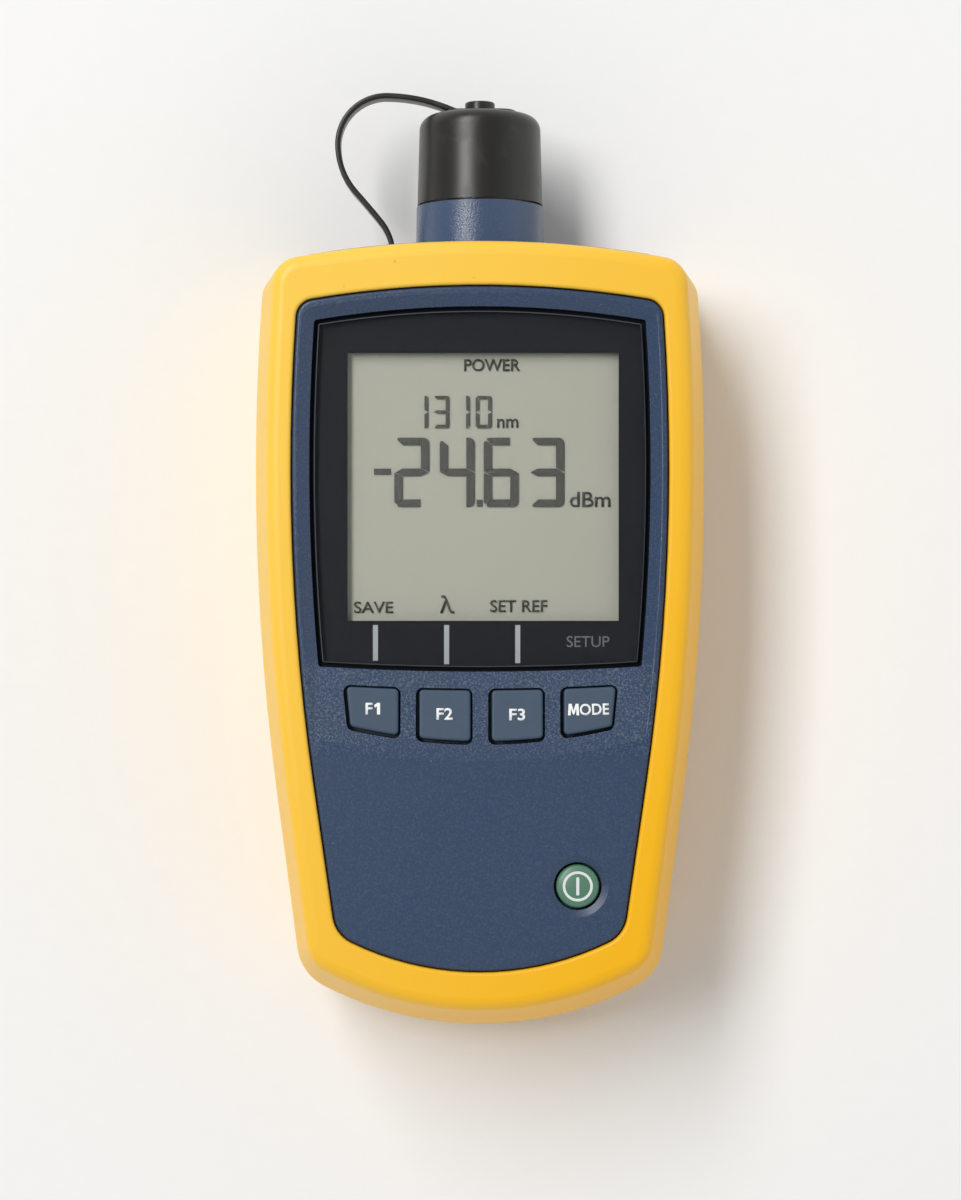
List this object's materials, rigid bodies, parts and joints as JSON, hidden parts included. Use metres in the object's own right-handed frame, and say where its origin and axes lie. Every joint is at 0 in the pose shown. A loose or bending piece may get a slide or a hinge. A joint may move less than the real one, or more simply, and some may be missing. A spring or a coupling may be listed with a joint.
{
  "type": "optical power meter",
  "caption": "Handheld optical power meter: two-shell case in a rubber holster, display, soft keys, power key and a capped fibre port at the top end.",
  "frame": {"origin": "on the flat back face, on the centre line, half way along the holster", "axes": "+X across the front to the right, +Y from the grip end to the fibre port, +Z from the back face to the display"},
  "size_m": [0.0814, 0.1686, 0.038],
  "materials": {
    "yellow_rubber": "satin moulded",
    "case_blue": "fine mould grain",
    "clear_window": "polished",
    "window_black": "smooth",
    "lcd": "smooth",
    "diffuser": "smooth",
    "black_plastic": "smooth",
    "contact_rubber": "smooth",
    "board_green": "smooth",
    "chip_black": "smooth",
    "screw_steel": "turned",
    "key_blue": "satin",
    "key_green": "satin",
    "mat_grey": "satin",
    "cell_wrap": "printed sleeve, plain",
    "contact_nickel": "nickel plated",
    "barrel_metal": "turned",
    "adapter_metal": "nickel plated",
    "sleeve_ceramic": "polished",
    "diode_metal": "gold tinted",
    "diode_glass": "polished",
    "cap_black": "satin"
  },
  "bodies": {
    "case": {"holster": "yellow_rubber", "front_case": "case_blue", "rear_case": "case_blue", "display_window": "clear_window", "display_mask": "window_black", "lcd_glass": "lcd", "lcd_backlight": "diffuser", "lcd_holder": "black_plastic", "contact_strips": "contact_rubber", "main_board": "board_green", "board_chips": "chip_black", "board_screws": "screw_steel", "keypad_mat": "mat_grey", "case_screws": "screw_steel", "aa_cell_1": "cell_wrap", "aa_cell_2": "cell_wrap", "battery_link": "contact_nickel", "battery_contact_1": "contact_nickel", "battery_contact_2": "contact_nickel", "port_barrel": "barrel_metal", "fibre_adapter": "adapter_metal", "ferrule_sleeve": "sleeve_ceramic", "photodiode": "diode_metal", "photodiode_window": "diode_glass", "diode_ring": "black_plastic", "cap_tether": "cap_black"},
    "key_f1_body": {"key_f1": "key_blue"},
    "key_f2_body": {"key_f2": "key_blue"},
    "key_f3_body": {"key_f3": "key_blue"},
    "key_mode_body": {"key_mode": "key_blue"},
    "power_key_body": {"power_key": "key_green"},
    "cap": {"dust_cap": "cap_black"},
    "nut": {"adapter_nut": "barrel_metal"},
    "door": {"battery_door": "case_blue"}
  },
  "joints": [
    {"name": "key_f1_press", "type": "slide", "parent": "case", "child": "key_f1_body", "axis": [0, 0, -1], "range_m": [0, 0.0009], "stiffness_N_per_m": 60, "springref_m": -0.0005, "deforming": ["keypad_mat"]},
    {"name": "key_f2_press", "type": "slide", "parent": "case", "child": "key_f2_body", "axis": [0, 0, -1], "range_m": [0, 0.0009], "stiffness_N_per_m": 60, "springref_m": -0.0005, "deforming": ["keypad_mat"]},
    {"name": "key_f3_press", "type": "slide", "parent": "case", "child": "key_f3_body", "axis": [0, 0, -1], "range_m": [0, 0.0009], "stiffness_N_per_m": 60, "springref_m": -0.0005, "deforming": ["keypad_mat"]},
    {"name": "key_mode_press", "type": "slide", "parent": "case", "child": "key_mode_body", "axis": [0, 0, -1], "range_m": [0, 0.0009], "stiffness_N_per_m": 60, "springref_m": -0.0005, "deforming": ["keypad_mat"]},
    {"name": "power_key_press", "type": "slide", "parent": "case", "child": "power_key_body", "axis": [0, 0, -1], "range_m": [0, 0.0009], "stiffness_N_per_m": 60, "springref_m": -0.0005, "deforming": ["keypad_mat"]},
    {"name": "cap_pull", "type": "slide", "parent": "case", "child": "cap", "axis": [0, 1, 0], "range_m": [0, 0.028], "deforming": ["cap_tether"]},
    {"name": "nut_turn", "type": "hinge", "parent": "case", "child": "nut", "pos_m": [0, 0.0869, 0.0185], "axis": [0, 1, 0], "range_deg": [0, 720]},
    {"name": "door_tilt", "type": "hinge", "parent": "case", "child": "door", "pos_m": [0, -0.00275, 0.001], "axis": [1, 0, 0], "range_deg": [0, 86]}
  ]
}
